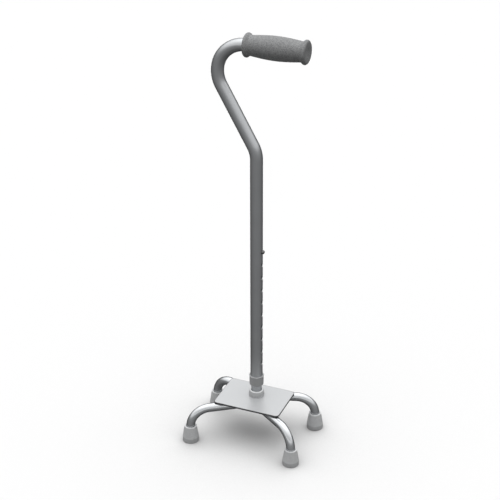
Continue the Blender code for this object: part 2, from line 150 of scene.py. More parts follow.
# Weld beads between the leg tubes and the plate
BEAD_R = 1.7 * MM
BEAD_SUNK = 0.5 * MM        # how deep a bead lies in the tube and in the plate
BEAD_START = 24 * MM        # from the middle of the plate, to the left and right
BEAD_END = 50 * MM

# Rubber tips
FEET = ("front_left", "front_right", "back_left", "back_right")
TIP_BAND = 9.0 * MM         # height of the straight band round the foot
TIP_FLOOR = 7.0 * MM        # height of the socket's floor
TIP_WALL = 3.0 * MM         # round the socket, at the rim
TIP_HIGHLIGHT = 1.6 * MM         # height of the rim painted pale, a painted highlight
TIP_GROOVES = (11.6 * MM, 8.8 * MM, 6.0 * MM, 3.2 * MM)     # radii of the sole's grooves
GROOVE_HALF = 0.7 * MM      # half a groove's width at the sole
GROOVE_FLOOR_HALF = 0.5 * MM
GROOVE_DEPTH = 1.0 * MM

# Boot round the stem's foot
BOOT_LIFT = 0.3 * MM        # top of the lip above the model's boot
BOOT_LIP = 2.6 * MM         # width of the raised lip
BOOT_SHOULDER = 3.6 * MM    # width of the wall below it
BOOT_HIGHLIGHT = 0.9 * MM        # from the model's top down to where the lip's painted highlight ends
BOOT_FOOT_LIGHT = 1.4 * MM        # height of the band above the plate painted lighter against the contact shade

# Collar, drawn a little fuller than the model's
COLLAR_LIFT = 1.1 * MM      # rim above the model's
COLLAR_FOOT_LIFT = 1.0 * MM     # foot above the model's
COLLAR_RIM = 0.7 * MM       # how far the rim stands out past the model's side
COLLAR_SIDE = 0.1 * MM      # how far the side does
PLASTIC_PALE = 2.3 * MM     # height of the rim painted pale as a highlight

# Snap button and the leaf spring behind it
BUTTON_R = 3.7 * MM
BUTTON_FLANGE = 1.0 * MM    # thickness of the flange behind the stem's wall
SPRING_THICK = 0.5 * MM
SPRING_BEND = 2.2 * MM
SPRING_END = 10.0 * MM      # upright end of each leaf

# Foam grip
GRIP_LENGTH = 110.4 * MM
GRIP_LAP = 1.2 * MM         # how far its open end reaches onto the bend
GRIP_END_WALL = 5.0 * MM
GRIP_BEAD_R = 20.8 * MM
GRIP_BEAD = 4.0 * MM        # from the end to the bead's crest
GRIP_FACE_R = 16.4 * MM
GRIP_NECK_R = 17.2 * MM
GRIP_NECK = 10.5 * MM       # from the end to the narrowest place
GRIP_SLOPE = 1.15           # above 1, the bead stays full further towards the neck
GRIP_BELLY_R = 20.6 * MM
GRIP_DISH = 1.4 * MM        # hollow of the closed end
GRIP_DISH_RIM = 1.5 * MM    # flat rim round the hollow

# Places read from the model
stem_low, stem_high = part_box("stem_tube")
stem_y = (stem_low.y + stem_high.y) / 2
stem_r = (stem_high.x - stem_low.x) / 2
handle_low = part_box("handle_tube")[0]
collar_low, collar_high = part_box("lock_collar")
boot_low, boot_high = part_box("stem_boot")
plate_low, plate_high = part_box("base_plate")
button_low, button_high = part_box("snap_button")
tip_low, tip_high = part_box("tip_front_right")
leg_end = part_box("front_leg_tube")[0].z
collar_r = (collar_high.x - collar_low.x) / 2
handle_r = collar_r - COLLAR_WALL - GAP
button_height = (button_low.z + button_high.z) / 2
leg_level = plate_low.z - GAP - LEG_R
foot_x = (tip_low.x + tip_high.x) / 2
foot_y = -(tip_low.y + tip_high.y) / 2


class Wire:
    """A node socket. Arithmetic on it adds Math nodes, and node() adds a node of any other kind."""

    def __init__(self, tree, socket=None):
        self.tree = tree
        self.socket = socket

    def node(self, kind, settings=None, sockets=None, output=0):
        """A new node in the same tree: its settings first, then what its sockets hold or are linked to."""
        made = self.tree.nodes.new(kind)
        for name, value in (settings or {}).items():
            if name == "stops":
                set_stops(made.color_ramp, value)
            else:
                setattr(made, name, value)
        for key, value in (sockets or {}).items():
            for item in value if isinstance(value, list) else [value]:
                if isinstance(item, Wire):
                    self.tree.links.new(item.socket, made.inputs[key])
                else:
                    made.inputs[key].default_value = item
        return Wire(self.tree, made.outputs[output] if made.outputs else None)

    def other(self, output):
        """Another output of the same node."""
        return Wire(self.tree, self.socket.node.outputs[output])

    def feed(self, shader, name):
        self.tree.links.new(self.socket, shader.inputs[name])

    def math(self, operation, *values):
        return self.node("ShaderNodeMath", {"operation": operation}, dict(enumerate(values)))

    def __add__(self, other):
        return self.math('ADD', self, other)

    __radd__ = __add__

    def __sub__(self, other):
        return self.math('SUBTRACT', self, other)

    def __rsub__(self, other):
        return self.math('SUBTRACT', other, self)

    def __mul__(self, other):
        return self.math('MULTIPLY', self, other)

    __rmul__ = __mul__

    def __truediv__(self, other):
        return self.math('DIVIDE', self, other)

    def step(self, low, high):
        """0 at low and below, 1 at high and above, smooth between. Low may be the larger."""
        return self.node("ShaderNodeMapRange", {"interpolation_type": 'SMOOTHSTEP'},
                         {"Value": self, "From Min": low, "From Max": high})

    def tint(self, low, high):
        """A colour from low, where this is 0, to high, where it is 1. Inputs 6 and 7 are those colours."""
        return self.node("ShaderNodeMix", {"data_type": 'RGBA'}, {0: self, 6: low, 7: high}, 2)

    def vector(self, operation, *values):
        return self.node("ShaderNodeVectorMath", {"operation": operation}, dict(enumerate(values)))

    def length(self):
        return self.node("ShaderNodeVectorMath", {"operation": 'LENGTH'}, {0: self}, "Value")

    def scaled(self, factor):
        return self.node("ShaderNodeVectorMath", {"operation": 'SCALE'}, {0: self, "Scale": factor})

    def along(self, axis):
        """This vector's X, Y or Z. The other two are other outputs of the same node."""
        return self.node("ShaderNodeSeparateXYZ", None, {0: self}, axis)

    def grain(self, scale, detail=2.0):
        """Noise from 0 to 1 on this vector. Scale is features to the metre, one number or one an axis."""
        scales = scale if isinstance(scale, tuple) else (scale, scale, scale)
        stretched = self.vector('MULTIPLY', self, scales)
        return self.node("ShaderNodeTexNoise", None, {"Vector": stretched, "Scale": 1.0, "Detail": detail})


def grey(value, cool=0.0):
    """A grey, with cool above 0 a slightly blue one, and below 0 a slightly brown one."""
    return (value * (1 - cool), value, value * (1 + cool), 1)


def set_stops(ramp, stops):
    """Give a colour ramp its places and tones."""
    while len(ramp.elements) < len(stops):
        ramp.elements.new(1.0)
    for element, (place, tone) in zip(ramp.elements, stops):
        element.position = place
        element.color = grey(tone)


# Finishes

def new_finish(name, colour, roughness, metallic=0.0, on_tube=False):
    """A material, its shader and the place that its pattern reads.

    That is the place on the piece, or on a bent tube the place before it was bent, with Z along the tube.
    """
    material = bpy.data.materials.new(name)
    material.use_nodes = True
    shader = material.node_tree.nodes["Principled BSDF"]
    shader.inputs["Base Color"].default_value = colour
    shader.inputs["Roughness"].default_value = roughness
    shader.inputs["Metallic"].default_value = metallic
    if metallic:
        shader.inputs["Specular Tint"].default_value = grey(EDGE_TINT)
    wire = Wire(material.node_tree)
    if on_tube:
        place = wire.node("ShaderNodeAttribute", {"attribute_name": STRAIGHT}, output="Vector")
    else:
        place = wire.node("ShaderNodeTexCoord", output="Object")
    return material, shader, place


def add_relief(shader, height, depth):
    """Bump of a real depth, in metres, from a height between 0 and 1."""
    bump = height.node("ShaderNodeBump", None, {"Strength": 1.0, "Distance": depth, "Height": height})
    bump.feed(shader, "Normal")


def satin_aluminium():
    """Handle tube: drawn and anodised, with fine lines along it.

    The metal is bare round each hole, and painted brighter above the collar: a painted reflection of the
    pale floor near the base.
    """
    material, shader, place = new_finish("satin_aluminium", grey(0.38, COOL_METAL), 0.3, 1.0, on_tube=True)
    bright_below = 26 * MM
    plain_above = 78 * MM
    ragged = 12 * MM
    lines = place.grain((2600.0, 2600.0, 14.0), 3.0)
    cloud = place.grain(34.0, 4.0)
    along = place.along("Z")
    across = along.other("Y")
    steps = (along - LOWEST_HOLE) / HOLE_PITCH
    in_rows = steps.math('MAXIMUM', 0.0, steps.math('MINIMUM', HOLE_COUNT - 1.0, steps))
    drop = (steps - in_rows.math('ROUND', in_rows)) * HOLE_PITCH
    from_hole = drop.math('SQRT', drop * drop + across * across)
    bare = from_hole.step(HOLE_R + 0.7 * MM, HOLE_R + 0.1 * MM)
    drawn = (cloud * 0.4 + lines * 0.6).tint(grey(0.37, COOL_METAL), grey(0.53, COOL_METAL))
    # Painted reflection: the tube's foot is painted brighter, for the pale floor that it would mirror there
    painted_floor_reflection = (along + cloud * ragged).step(plain_above, bright_below) * 0.45
    drawn = painted_floor_reflection.tint(drawn, grey(0.72, COOL_METAL))
    bare.tint(drawn, grey(0.72)).feed(shader, "Base Color")
    (0.22 + lines * 0.14 + cloud * 0.05 - bare * 0.05).feed(shader, "Roughness")
    add_relief(shader, lines, 0.012 * MM)
    return material


def polished_tube(name, tone):
    """Legs and stem: bright, with faint marks round the tube from polishing and a few smears."""
    material, shader, place = new_finish(name, grey(tone, COOL_METAL), 0.22, 1.0, on_tube=True)
    rings = place.grain((60.0, 60.0, 3200.0), 3.0)
    smears = place.grain((70.0, 70.0, 30.0), 5.0)
    smears.tint(grey(tone * 0.92, COOL_METAL), grey(tone * 1.08, COOL_METAL)).feed(shader, "Base Color")
    (0.17 + rings * 0.06 + smears.step(0.45, 0.75) * 0.07).feed(shader, "Roughness")
    add_relief(shader, rings, 0.003 * MM)
    return material


def silver_coat():
    """Plate: pale silver powder coat with fine flakes and a dimpled skin, with painted shade along its
    edge.
    """
    material, shader, place = new_finish("silver_coat", grey(0.52, COOL), 0.36, 0.2)
    ragged = 0.4 * MM
    flakes = place.grain(5200.0, 1.0)
    skin = place.grain(900.0, 2.0)
    haze = place.grain(26.0, 4.0)
    core = (plate_high - plate_low) / 2 - Vector((PLATE_CORNER, PLATE_CORNER, 0))
    from_middle = place.vector('ABSOLUTE', place.vector('SUBTRACT', place, (plate_low + plate_high) / 2))
    beyond = from_middle.vector('MAXIMUM', from_middle.vector('SUBTRACT', from_middle, core), (0, 0, 0))
    inward = PLATE_CORNER - beyond.vector('MULTIPLY', beyond, (1, 1, 0)).length()
    # Painted shade: a band round the border, over the rounded edges and the side, painted nearly black
    painted_edge_shading = (inward + haze * ragged).step(1.3 * MM, 0.9 * MM)
    coat = (flakes * 0.7 + haze * 0.3).tint(grey(0.46, COOL_COAT), grey(0.595, COOL_COAT))
    painted_edge_shading.tint(coat, flakes.tint(grey(0.05, COOL), grey(0.1, COOL))).feed(shader, "Base Color")
    (0.30 + haze * 0.08 + flakes * 0.06).feed(shader, "Roughness")
    add_relief(shader, skin, 0.02 * MM)
    return material


def moulded_rubber(name, tone, highlight_above, highlight_tone, foot_band_below, foot_band_tone):
    """Tips and boot: matt and faintly pitted.

    The rim is smoother, and painted pale as a painted highlight, above one height; the foot band below
    another takes another tone.
    """
    material, shader, place = new_finish(name, grey(tone, COOL), 0.75)
    ragged = 1.5 * MM
    height = place.along("Z")
    pits = place.grain(1000.0, 3.0)
    speckle = place.grain(800.0, 2.0).step(0.3, 0.7)
    dust = place.grain(120.0, 5.0)
    # Painted highlight on the rim, which is also made smoother
    painted_rim_highlight = height.step(highlight_above - 0.5 * MM, highlight_above)
    # Foot band: darker on the tips; on the boot, painted lighter against the contact shade on the plate
    foot_band = (height + dust * ragged).step(foot_band_below + 1.4 * MM, foot_band_below + 0.2 * MM)
    mottle = pits * 0.35 + speckle * 0.35 + dust * 0.3
    body = mottle.tint(grey(tone * 0.78, COOL), grey(tone * 1.22, COOL))
    # Painted highlight on the rim
    painted_edge_shading = (painted_rim_highlight * 0.85).tint(body, grey(highlight_tone, COOL))
    (foot_band * 0.6).tint(painted_edge_shading, grey(foot_band_tone, COOL)).feed(shader, "Base Color")
    (0.66 + dust * 0.2 - painted_rim_highlight * 0.4).feed(shader, "Roughness")
    add_relief(shader, pits, 0.08 * MM)
    return material


def closed_cell_foam():
    """Grip: fine cells with a mottled tone, painted darker in the pits than on the cell walls, as painted
    shade.
    """
    material, shader, place = new_finish("closed_cell_foam", grey(0.36, COOL), 0.92)
    cells = place.node("ShaderNodeTexVoronoi", {"feature": 'F1'},
                       {"Vector": place, "Scale": 1400.0}, "Distance")
    pits = place.grain(1100.0, 3.0)
    mottle = place.grain(640.0, 2.0).step(0.3, 0.7)
    relief = 0.45 * pits + 0.55 * cells
    # Painted shade in the pits, from the relief, mixed with a mottled tone
    shade = (relief * 0.72 + mottle * 0.28).step(0.2, 0.78)
    shade.tint(grey(0.165, COOL), grey(0.42, COOL)).feed(shader, "Base Color")
    (0.84 + pits * 0.12).feed(shader, "Roughness")
    add_relief(shader, relief, 0.22 * MM)
    return material


def moulded_plastic(name, tone, highlight_above):
    """Collar and the plastic inside: smooth and finely grained, with a rim painted pale as a painted
    highlight.
    """
    material, shader, place = new_finish(name, grey(tone, COOL), 0.45)
    height = place.along("Z")
    grain = place.grain(2200.0, 2.0)
    flow = place.grain((90.0, 90.0, 25.0), 3.0)
    body = flow.tint(grey(tone * 0.88, COOL), grey(tone * 1.12, COOL))
    # Painted highlight: the rim's top is painted pale
    painted_rim_highlight = height.step(highlight_above - 0.7 * MM, highlight_above)
    (painted_rim_highlight * 0.8).tint(body, grey(tone * 1.3, COOL)).feed(shader, "Base Color")
    (0.38 + grain * 0.14).feed(shader, "Roughness")
    add_relief(shader, grain, 0.02 * MM)
    return material


def zinc_plate():
    """Bolt and washers: dull bright zinc with faint patches."""
    material, shader, place = new_finish("zinc_plate", grey(0.6), 0.32, 1.0)
    patches = place.grain(420.0, 3.0)
    scuffs = place.grain((1800.0, 300.0, 900.0), 2.0)
    patches.tint(grey(0.52), grey(0.68)).feed(shader, "Base Color")
    (0.24 + patches * 0.1 + scuffs * 0.1).feed(shader, "Roughness")
    add_relief(shader, scuffs, 0.01 * MM)
    return material


def spring_steel():
    """Button and leaf spring: plain steel, darker, with fine scratches."""
    material, shader, place = new_finish("spring_steel", grey(0.16), 0.28, 1.0)
    scratches = place.grain((400.0, 4000.0, 400.0), 3.0)
    scratches.tint(grey(0.12), grey(0.19)).feed(shader, "Base Color")
    (0.32 + scratches * 0.16).feed(shader, "Roughness")
    add_relief(shader, scratches, 0.004 * MM)
    return material


def weld_metal():
    """Weld beads: bright ripples with a brown-grey haze."""
    material, shader, place = new_finish("weld_metal", grey(0.5), 0.35, 1.0)
    haze = place.grain(500.0, 4.0)
    haze.tint(grey(0.38, BROWN_WELD), grey(0.6)).feed(shader, "Base Color")
    (0.28 + haze * 0.2).feed(shader, "Roughness")
    add_relief(shader, haze, 0.04 * MM)
    return material


# Meshes

def arc(centre, radius, start, stop, step=BEND_STEP):
    """Points on an arc in a plane, at angles in degrees."""
    count = max(2, math.ceil(abs(stop - start) / step))
    points = []
    for i in range(count + 1):
        angle = math.radians(start + (stop - start) * i / count)
        points.append((centre[0] + radius * math.cos(angle), centre[1] + radius * math.sin(angle)))
    return points


def corner(centre, radius, start, stop):
    """A small rounding in a profile."""
    return arc(centre, radius, start, stop, ROUNDING_STEP)


def spaced(path, step=STRAIGHT_STEP):
    """The same path, with points added so that no straight run is longer than a step."""
    points = [Vector(path[0])]
    for point in path[1:]:
        start, stop = points[-1], Vector(point)
        parts = max(1, math.ceil((stop - start).length / step))
        points += [start.lerp(stop, i / parts) for i in range(1, parts + 1)]
    return points


def new_piece(name, mesh, finish=None):
    """An object at the origin, with its place in its mesh."""
    piece = bpy.data.objects.new(name, mesh)
    bpy.context.scene.collection.objects.link(piece)
    if finish:
        mesh.materials.clear()
        mesh.materials.append(finish)
    return piece


def mesh_from(work, name):
    """The work as a mesh."""
    mesh = bpy.data.meshes.new(name)
    work.to_mesh(mesh)
    work.free()
    return mesh


def plain_mesh(thing):
    """An object's evaluated surface as a mesh of its own."""
    state = bpy.context.evaluated_depsgraph_get()
    return bpy.data.meshes.new_from_object(thing.evaluated_get(state))


def skin(work, rings, closed=False, flipped=False):
    """Faces from each ring of vertices to the next, and from the last to the first where closed.

    A ring may be one vertex, many times. Flipped faces point the other way.
    """
    pairs = list(zip(rings, rings[1:]))
    if closed:
        pairs.append((rings[-1], rings[0]))
    for ring, after in pairs:
        for i in range(len(ring)):
            j = (i + 1) % len(ring)
            corners = [ring[i], after[i], after[j], ring[j]]
            if flipped:
                corners = [ring[i], ring[j], after[j], after[i]]
            corners = list(dict.fromkeys(corners))
            if len(corners) > 2:
                work.faces.new(corners)


def turned_rings(work, outline, columns, closed):
    """Turn an outline about Z. It runs down the outside, then up the inside."""
    rings = []
    for radius, height in outline:
        if radius == 0:
            rings.append([work.verts.new((0, 0, height))] * columns)
            continue
        ring = []
        for i in range(columns):
            angle = 2 * math.pi * i / columns
            ring.append(work.verts.new((radius * math.cos(angle), radius * math.sin(angle), height)))
        rings.append(ring)
    skin(work, rings, closed)


def turned(name, outline, finish, place, closed=True, columns=TURNED_COLUMNS):
    """A turned piece, set in place. An outline that starts and ends on the axis isn't closed."""
    work = bmesh.new()
    turned_rings(work, outline, columns, closed)
    bmesh.ops.transform(work, matrix=place, verts=work.verts)
    return finished(new_piece(name, mesh_from(work, name), finish))


def finished(piece):
    """Make a piece's evaluated surface its own plain mesh, shaded evenly, with sharp corners kept."""
    mesh = plain_mesh(piece)
    mesh.shade_smooth()
    mesh.set_sharp_from_angle(angle=SHARP)
    piece.modifiers.clear()
    piece.data = mesh
    mesh.name = piece.name
    return piece


def evened(piece):
    """Shade a finished piece's large faces flat where they meet a small rounding."""
    even = piece.modifiers.new("even_shading", 'WEIGHTED_NORMAL')
    even.keep_sharp = True
    return finished(piece)


def about_stem(height=0.0):
    """Place of a piece that is turned about the stem."""
    return Matrix.Translation((0, stem_y, height))


def put(piece, body, slot, *nodes):
    """Make a piece ride on its body, in place of the nodes that it stands for. The slot is not used."""
    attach(piece, body)
    if nodes:
        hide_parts(*nodes)


def dress_nodes(names, finish):
    """Give nodes of the model that stay in view a better finish."""
    for name in names:
        mesh = frame["nodes"][name].data
        mesh.materials.clear()
        mesh.materials.append(finish)


# Bent and drilled tubes

def lengths_along(path):
    """Distance of each point from the path's start."""
    lengths = [0.0]
    for point, after in zip(path, path[1:]):
        lengths.append(lengths[-1] + (after - point).length)
    return lengths


def plain_lengths(rows, outer_r, inner_r, drilled_from, drilled_to):
    """Wall of a straight tube that starts at Z 0, with a stretch left out for drilled lengths.

    No row lies closer than a millimetre to that stretch.
    """
    end = rows[-1]
    foot = corner((outer_r - END_ROUND, END_ROUND), END_ROUND, 0, -90)
    foot += corner((inner_r + END_ROUND, END_ROUND), END_ROUND, -90, -180)
    head = corner((inner_r + END_ROUND, end - END_ROUND), END_ROUND, 180, 90)
    head += corner((outer_r - END_ROUND, end - END_ROUND), END_ROUND, 90, 0)
    work = bmesh.new()
    if drilled_from == drilled_to:
        middle = [z for z in rows if END_ROUND < z < end - END_ROUND]
        outline = [(outer_r, z) for z in reversed(middle)] + foot + [(inner_r, z) for z in middle] + head
        turned_rings(work, outline, TUBE_COLUMNS, True)
    else:
        lower = [z for z in rows if END_ROUND < z < drilled_from - MM] + [drilled_from]
        upper = [drilled_to] + [z for z in rows if drilled_to + MM < z < end - END_ROUND]
        outline = [(outer_r, z) for z in reversed(lower)] + foot + [(inner_r, z) for z in lower]
        turned_rings(work, outline, TUBE_COLUMNS, False)
        outline = [(inner_r, z) for z in upper] + head + [(outer_r, z) for z in reversed(upper)]
        turned_rings(work, outline, TUBE_COLUMNS, False)
    return mesh_from(work, "plain_lengths")


def drilled_length(outer_r, inner_r, drilled_sides):
    """One step of a drilled tube, centred on its holes, which lie on the sides given as angles."""
    turn = 2 * math.pi / TUBE_COLUMNS
    reach = outer_r * turn * PATCH / 2
    margin = HOLE_PITCH / 2 - reach
    margin_rows = 3
    border = [HOLE_PITCH / 2 - margin * i / margin_rows for i in range(margin_rows)]
    rows = [-z for z in border] + [-reach + 2 * reach * i / PATCH for i in range(PATCH + 1)] + border[::-1]
    first = len(border)
    centres = [round(side / turn) for side in drilled_sides]
    in_patch = {(c + j) % TUBE_COLUMNS for c in centres for j in range(-PATCH // 2, PATCH // 2)}
    work = bmesh.new()
    walls = []
    for radius in (outer_r, inner_r):
        grid = {}
        for i, z in enumerate(rows):
            for j in range(TUBE_COLUMNS):
                grid[j, i] = work.verts.new((radius * math.cos(turn * j), radius * math.sin(turn * j), z))
        for i in range(len(rows) - 1):
            for j in range(TUBE_COLUMNS):
                if j in in_patch and first <= i < first + PATCH:
                    continue
                after = (j + 1) % TUBE_COLUMNS
                face = [grid[j, i], grid[after, i], grid[after, i + 1], grid[j, i + 1]]
                work.faces.new(face if radius == outer_r else face[::-1])
        walls.append(grid)
    for centre in centres:
        drill(work, walls, rows, first, centre, turn, outer_r, inner_r)
    unused = [vert for vert in work.verts if not vert.link_faces]
    bmesh.ops.delete(work, geom=unused, context='VERTS')
    return mesh_from(work, "drilled_length")


def drill(work, walls, rows, first, centre, turn, outer_r, inner_r):
    """Fill the square patch round one hole, and the hole's wall, with rings of faces.

    The rings close in on the outside, follow the hole's rounded edges and widen again on the inside.
    """
    half = PATCH // 2
    walk = [(j, 0) for j in range(-half, half)] + [(half, i) for i in range(PATCH)]
    walk += [(j, PATCH) for j in range(half, -half, -1)] + [(-half, i) for i in range(PATCH, 0, -1)]
    spin = Matrix.Rotation(turn * centre, 3, 'Z')

    def ring_at(wall_r, hole_r, share):
        """A ring on the wall's surface, from the patch's border at share 0 to the hole's circle at 1."""
        ring = []
        for j, i in walk:
            angle = math.atan2(i - half, j)
            on_circle = math.asin(hole_r * math.cos(angle) / wall_r)
            around = turn * j + (on_circle - turn * j) * share
            z = rows[first + i] + (hole_r * math.sin(angle) - rows[first + i]) * share
            point = Vector((wall_r * math.cos(around), wall_r * math.sin(around), z))
            ring.append(work.verts.new(spin @ point))
        return ring

    edge = HOLE_R + HOLE_ROUND
    wall = outer_r - inner_r
    rings = [[walls[0][(centre + j) % TUBE_COLUMNS, first + i] for j, i in walk]]
    rings += [ring_at(outer_r, edge, share) for share in (0.4, 0.75, 1.0)]
    for angle in (30, 60, 90):
        depth = HOLE_ROUND * (1 - math.cos(math.radians(angle)))
        rings.append(ring_at(outer_r - depth, edge - HOLE_ROUND * math.sin(math.radians(angle)), 1.0))
    for angle in (90, 45, 0):
        depth = wall - HOLE_ROUND * (1 - math.cos(math.radians(angle)))
        rings.append(ring_at(outer_r - depth, edge - HOLE_ROUND * math.sin(math.radians(angle)), 1.0))
    rings += [ring_at(inner_r, edge, share) for share in (0.75, 0.4)]
    rings.append([walls[1][(centre + j) % TUBE_COLUMNS, first + i] for j, i in walk])
    skin(work, rings, flipped=True)


def add_inputs(tree, inputs):
    """Give a tree its named inputs and its one output. Returns each input's identifier."""
    tree.interface.new_socket("Geometry", in_out='OUTPUT', socket_type='NodeSocketGeometry')
    identifiers = {}
    for name, kind in inputs:
        socket = tree.interface.new_socket(name, in_out='INPUT', socket_type="NodeSocket" + kind)
        identifiers[name] = socket.identifier
    return identifiers


def bent_tube_tree():
    """Repeats a drilled length up a straight tube, welds it in, and bends the tube along a centre line."""
    tree = bpy.data.node_groups.new("bent_tube", 'GeometryNodeTree')
    identifiers = add_inputs(tree, [
        ("Plain Lengths", "Geometry"), ("Centre Line", "Object"), ("Drilled Length", "Object"),
        ("Hole Count", "Int"), ("Hole Pitch", "Float"), ("Lowest Hole", "Float"), ("Finish", "Material")])
    given = Wire(tree).node("NodeGroupInput")
    start = given.node("ShaderNodeCombineXYZ", None, {"Z": given.other("Lowest Hole")})
    offset = given.node("ShaderNodeCombineXYZ", None, {"Z": given.other("Hole Pitch")})
    holes = given.node("GeometryNodeMeshLine", {"mode": 'OFFSET', "count_mode": 'TOTAL'},
                       {"Count": given.other("Hole Count"), "Start Location": start, "Offset": offset})
    cell = given.node("GeometryNodeObjectInfo", None, {"Object": given.other("Drilled Length")}, "Geometry")
    copies = given.node("GeometryNodeInstanceOnPoints", None, {"Points": holes, "Instance": cell})
    loose = given.node("GeometryNodeRealizeInstances", None, {"Geometry": copies})
    joined = given.node("GeometryNodeJoinGeometry", None,
                        {"Geometry": [given.other("Plain Lengths"), loose]})
    welded = given.node("GeometryNodeMergeByDistance", None, {"Geometry": joined, "Distance": 0.01 * MM})
    where = given.node("GeometryNodeInputPosition")
    marked = given.node("GeometryNodeStoreNamedAttribute", {"data_type": 'FLOAT_VECTOR', "domain": 'POINT'},
                        {"Geometry": welded, "Name": STRAIGHT, "Value": where})
    across = where.along("X")
    line = given.node("GeometryNodeObjectInfo", None, {"Object": given.other("Centre Line")}, "Geometry")
    on_line = given.node("GeometryNodeSampleCurve", {"mode": 'LENGTH'},
                         {"Curves": line, "Length": across.other("Z")}, "Position")
    normal, tangent = on_line.other("Normal"), on_line.other("Tangent")
    side = normal.vector('CROSS_PRODUCT', tangent, normal)
    shifted = on_line.vector('ADD', on_line, normal.scaled(across))
    target = shifted.vector('ADD', shifted, side.scaled(across.other("Y")))
    bent = given.node("GeometryNodeSetPosition", None, {"Geometry": marked, "Position": target})
    plain = given.node("GeometryNodeRealizeInstances", None, {"Geometry": bent})
    coated = given.node("GeometryNodeSetMaterial", None,
                        {"Geometry": plain, "Material": given.other("Finish")})
    given.node("NodeGroupOutput", None, {0: coated})
    return tree, identifiers


def line_object(name, paths):
    """A curve object with one straight-sided spline for each path."""
    curve = bpy.data.curves.new(name, 'CURVE')
    curve.dimensions = '3D'
    for path in paths:
        spline = curve.splines.new('POLY')
        spline.points.add(len(path) - 1)
        for point, place in zip(spline.points, path):
            point.co = (*place, 1)
    line = bpy.data.objects.new(name, curve)
    bpy.context.scene.collection.objects.link(line)
    return line


def run_tree(piece, tree, values):
    """Run a node tree on an object, with its inputs set by their identifiers."""
    group, identifiers = tree
    step = piece.modifiers.new(group.name, 'NODES')
    step.node_group = group
    for name, value in values.items():
        step[identifiers[name]] = value


def bent_tube(name, path, outer_r, wall, finish, drilled_sides=(), holes=(0, 0.0)):
    """A bored tube along a path that starts upwards.

    Holes gives how many there are and how far up the lowest is.
    """
    path = spaced(path)
    rows = lengths_along(path)
    count, lowest = holes
    low = lowest - HOLE_PITCH / 2
    mesh = plain_lengths(rows, outer_r, outer_r - wall, low, low + count * HOLE_PITCH)
    piece = new_piece(name, mesh)
    line = line_object(name + "_line", [path])
    values = {"Centre Line": line, "Hole Count": count, "Hole Pitch": HOLE_PITCH, "Lowest Hole": lowest,
              "Finish": finish}
    helpers = [line]
    if count:
        cell = new_piece(name + "_cell", drilled_length(outer_r, outer_r - wall, drilled_sides))
        values["Drilled Length"] = cell
        helpers.append(cell)
    run_tree(piece, tube_tree, values)
    finished(piece)
    for helper in helpers:
        bpy.data.objects.remove(helper, do_unlink=True)
    return piece


def neck_path():
    """Centre line of the handle tube, from its lower end to the end of its upper bend, at the grip."""
    neck = button_height + NECK_RISE
    points = [(0, handle_low.z)] + arc((-LOWER_BEND, neck), LOWER_BEND, 0, LEAN)
    lean = math.radians(LEAN)
    x = points[-1][0] - LEAN_RUN * math.sin(lean)
    z = points[-1][1] + LEAN_RUN * math.cos(lean)
    centre = (x + UPPER_BEND * math.cos(lean), z + UPPER_BEND * math.sin(lean))
    points += arc(centre, UPPER_BEND, 180 + LEAN, 90 + GRIP_TILT)
    return [Vector((across, stem_y, height)) for across, height in points]


def make_handle_tube():
    """Gooseneck tube. Past its bends it runs straight on inside the grip."""
    path = neck_path()
    inside = GRIP_LENGTH - GRIP_LAP - GRIP_END_WALL - GAP
    tilt = math.radians(GRIP_TILT)
    path.append(path[-1] + Vector((inside * math.cos(tilt), 0, inside * math.sin(tilt))))
    tube = bent_tube("gooseneck_tube", path, handle_r, HANDLE_WALL, satin_aluminium(),
                     (0, math.pi), (HOLE_COUNT, LOWEST_HOLE))
    put(tube, "handle", "satin_tube", "handle_tube")


def make_stem(finish):
    """Inner tube, with one hole for the button."""
    path = [Vector((0, stem_y, stem_low.z)), Vector((0, stem_y, stem_high.z))]
    stem = bent_tube("stem_column", path, stem_r, STEM_WALL, finish, (0,), (1, button_height - stem_low.z))
    put(stem, "base", "bright_tube", "stem_tube")


def leg_path(side, middle, middle_bend):
    """Centre line of a leg tube, from its left foot round beside the bolt to its right one.

    Side is -1 for the front tube and 1 for the back one. Distances across the plate count from the stem.
    """
    far = foot_y - side * stem_y
    past_centre = far - middle - middle_bend
    splay = math.atan2(past_centre, foot_x) + math.asin(middle_bend / math.hypot(foot_x, past_centre))
    half = [(foot_x, far, leg_end)]
    for inward, height in arc((LEG_BEND, leg_level - LEG_BEND), LEG_BEND, 180, 90):
        half.append((foot_x - inward * math.cos(splay), far - inward * math.sin(splay), height))
    for x, y in arc((0, middle + middle_bend), middle_bend, math.degrees(splay) - 90, -90):
        half.append((x, y, leg_level))
    right = [Vector((x, stem_y + side * y, z)) for x, y, z in half]
    left = [Vector((-point.x, point.y, point.z)) for point in right[:-1]]
    return [*left, *reversed(right)]


def make_legs(finish):
    """Front and back leg tubes. Returns their centre lines."""
    front = leg_path(-1, FRONT_MIDDLE, FRONT_MIDDLE_BEND)
    back = leg_path(1, BACK_MIDDLE, BACK_MIDDLE_BEND)
    put(bent_tube("front_legs", front, LEG_R, LEG_WALL, finish), "base", "bright_tube", "front_leg_tube")
    put(bent_tube("back_legs", back, LEG_R, LEG_WALL, finish), "base", "bright_tube", "back_leg_tube")
    return front, back


# Rubber, plastic and foam

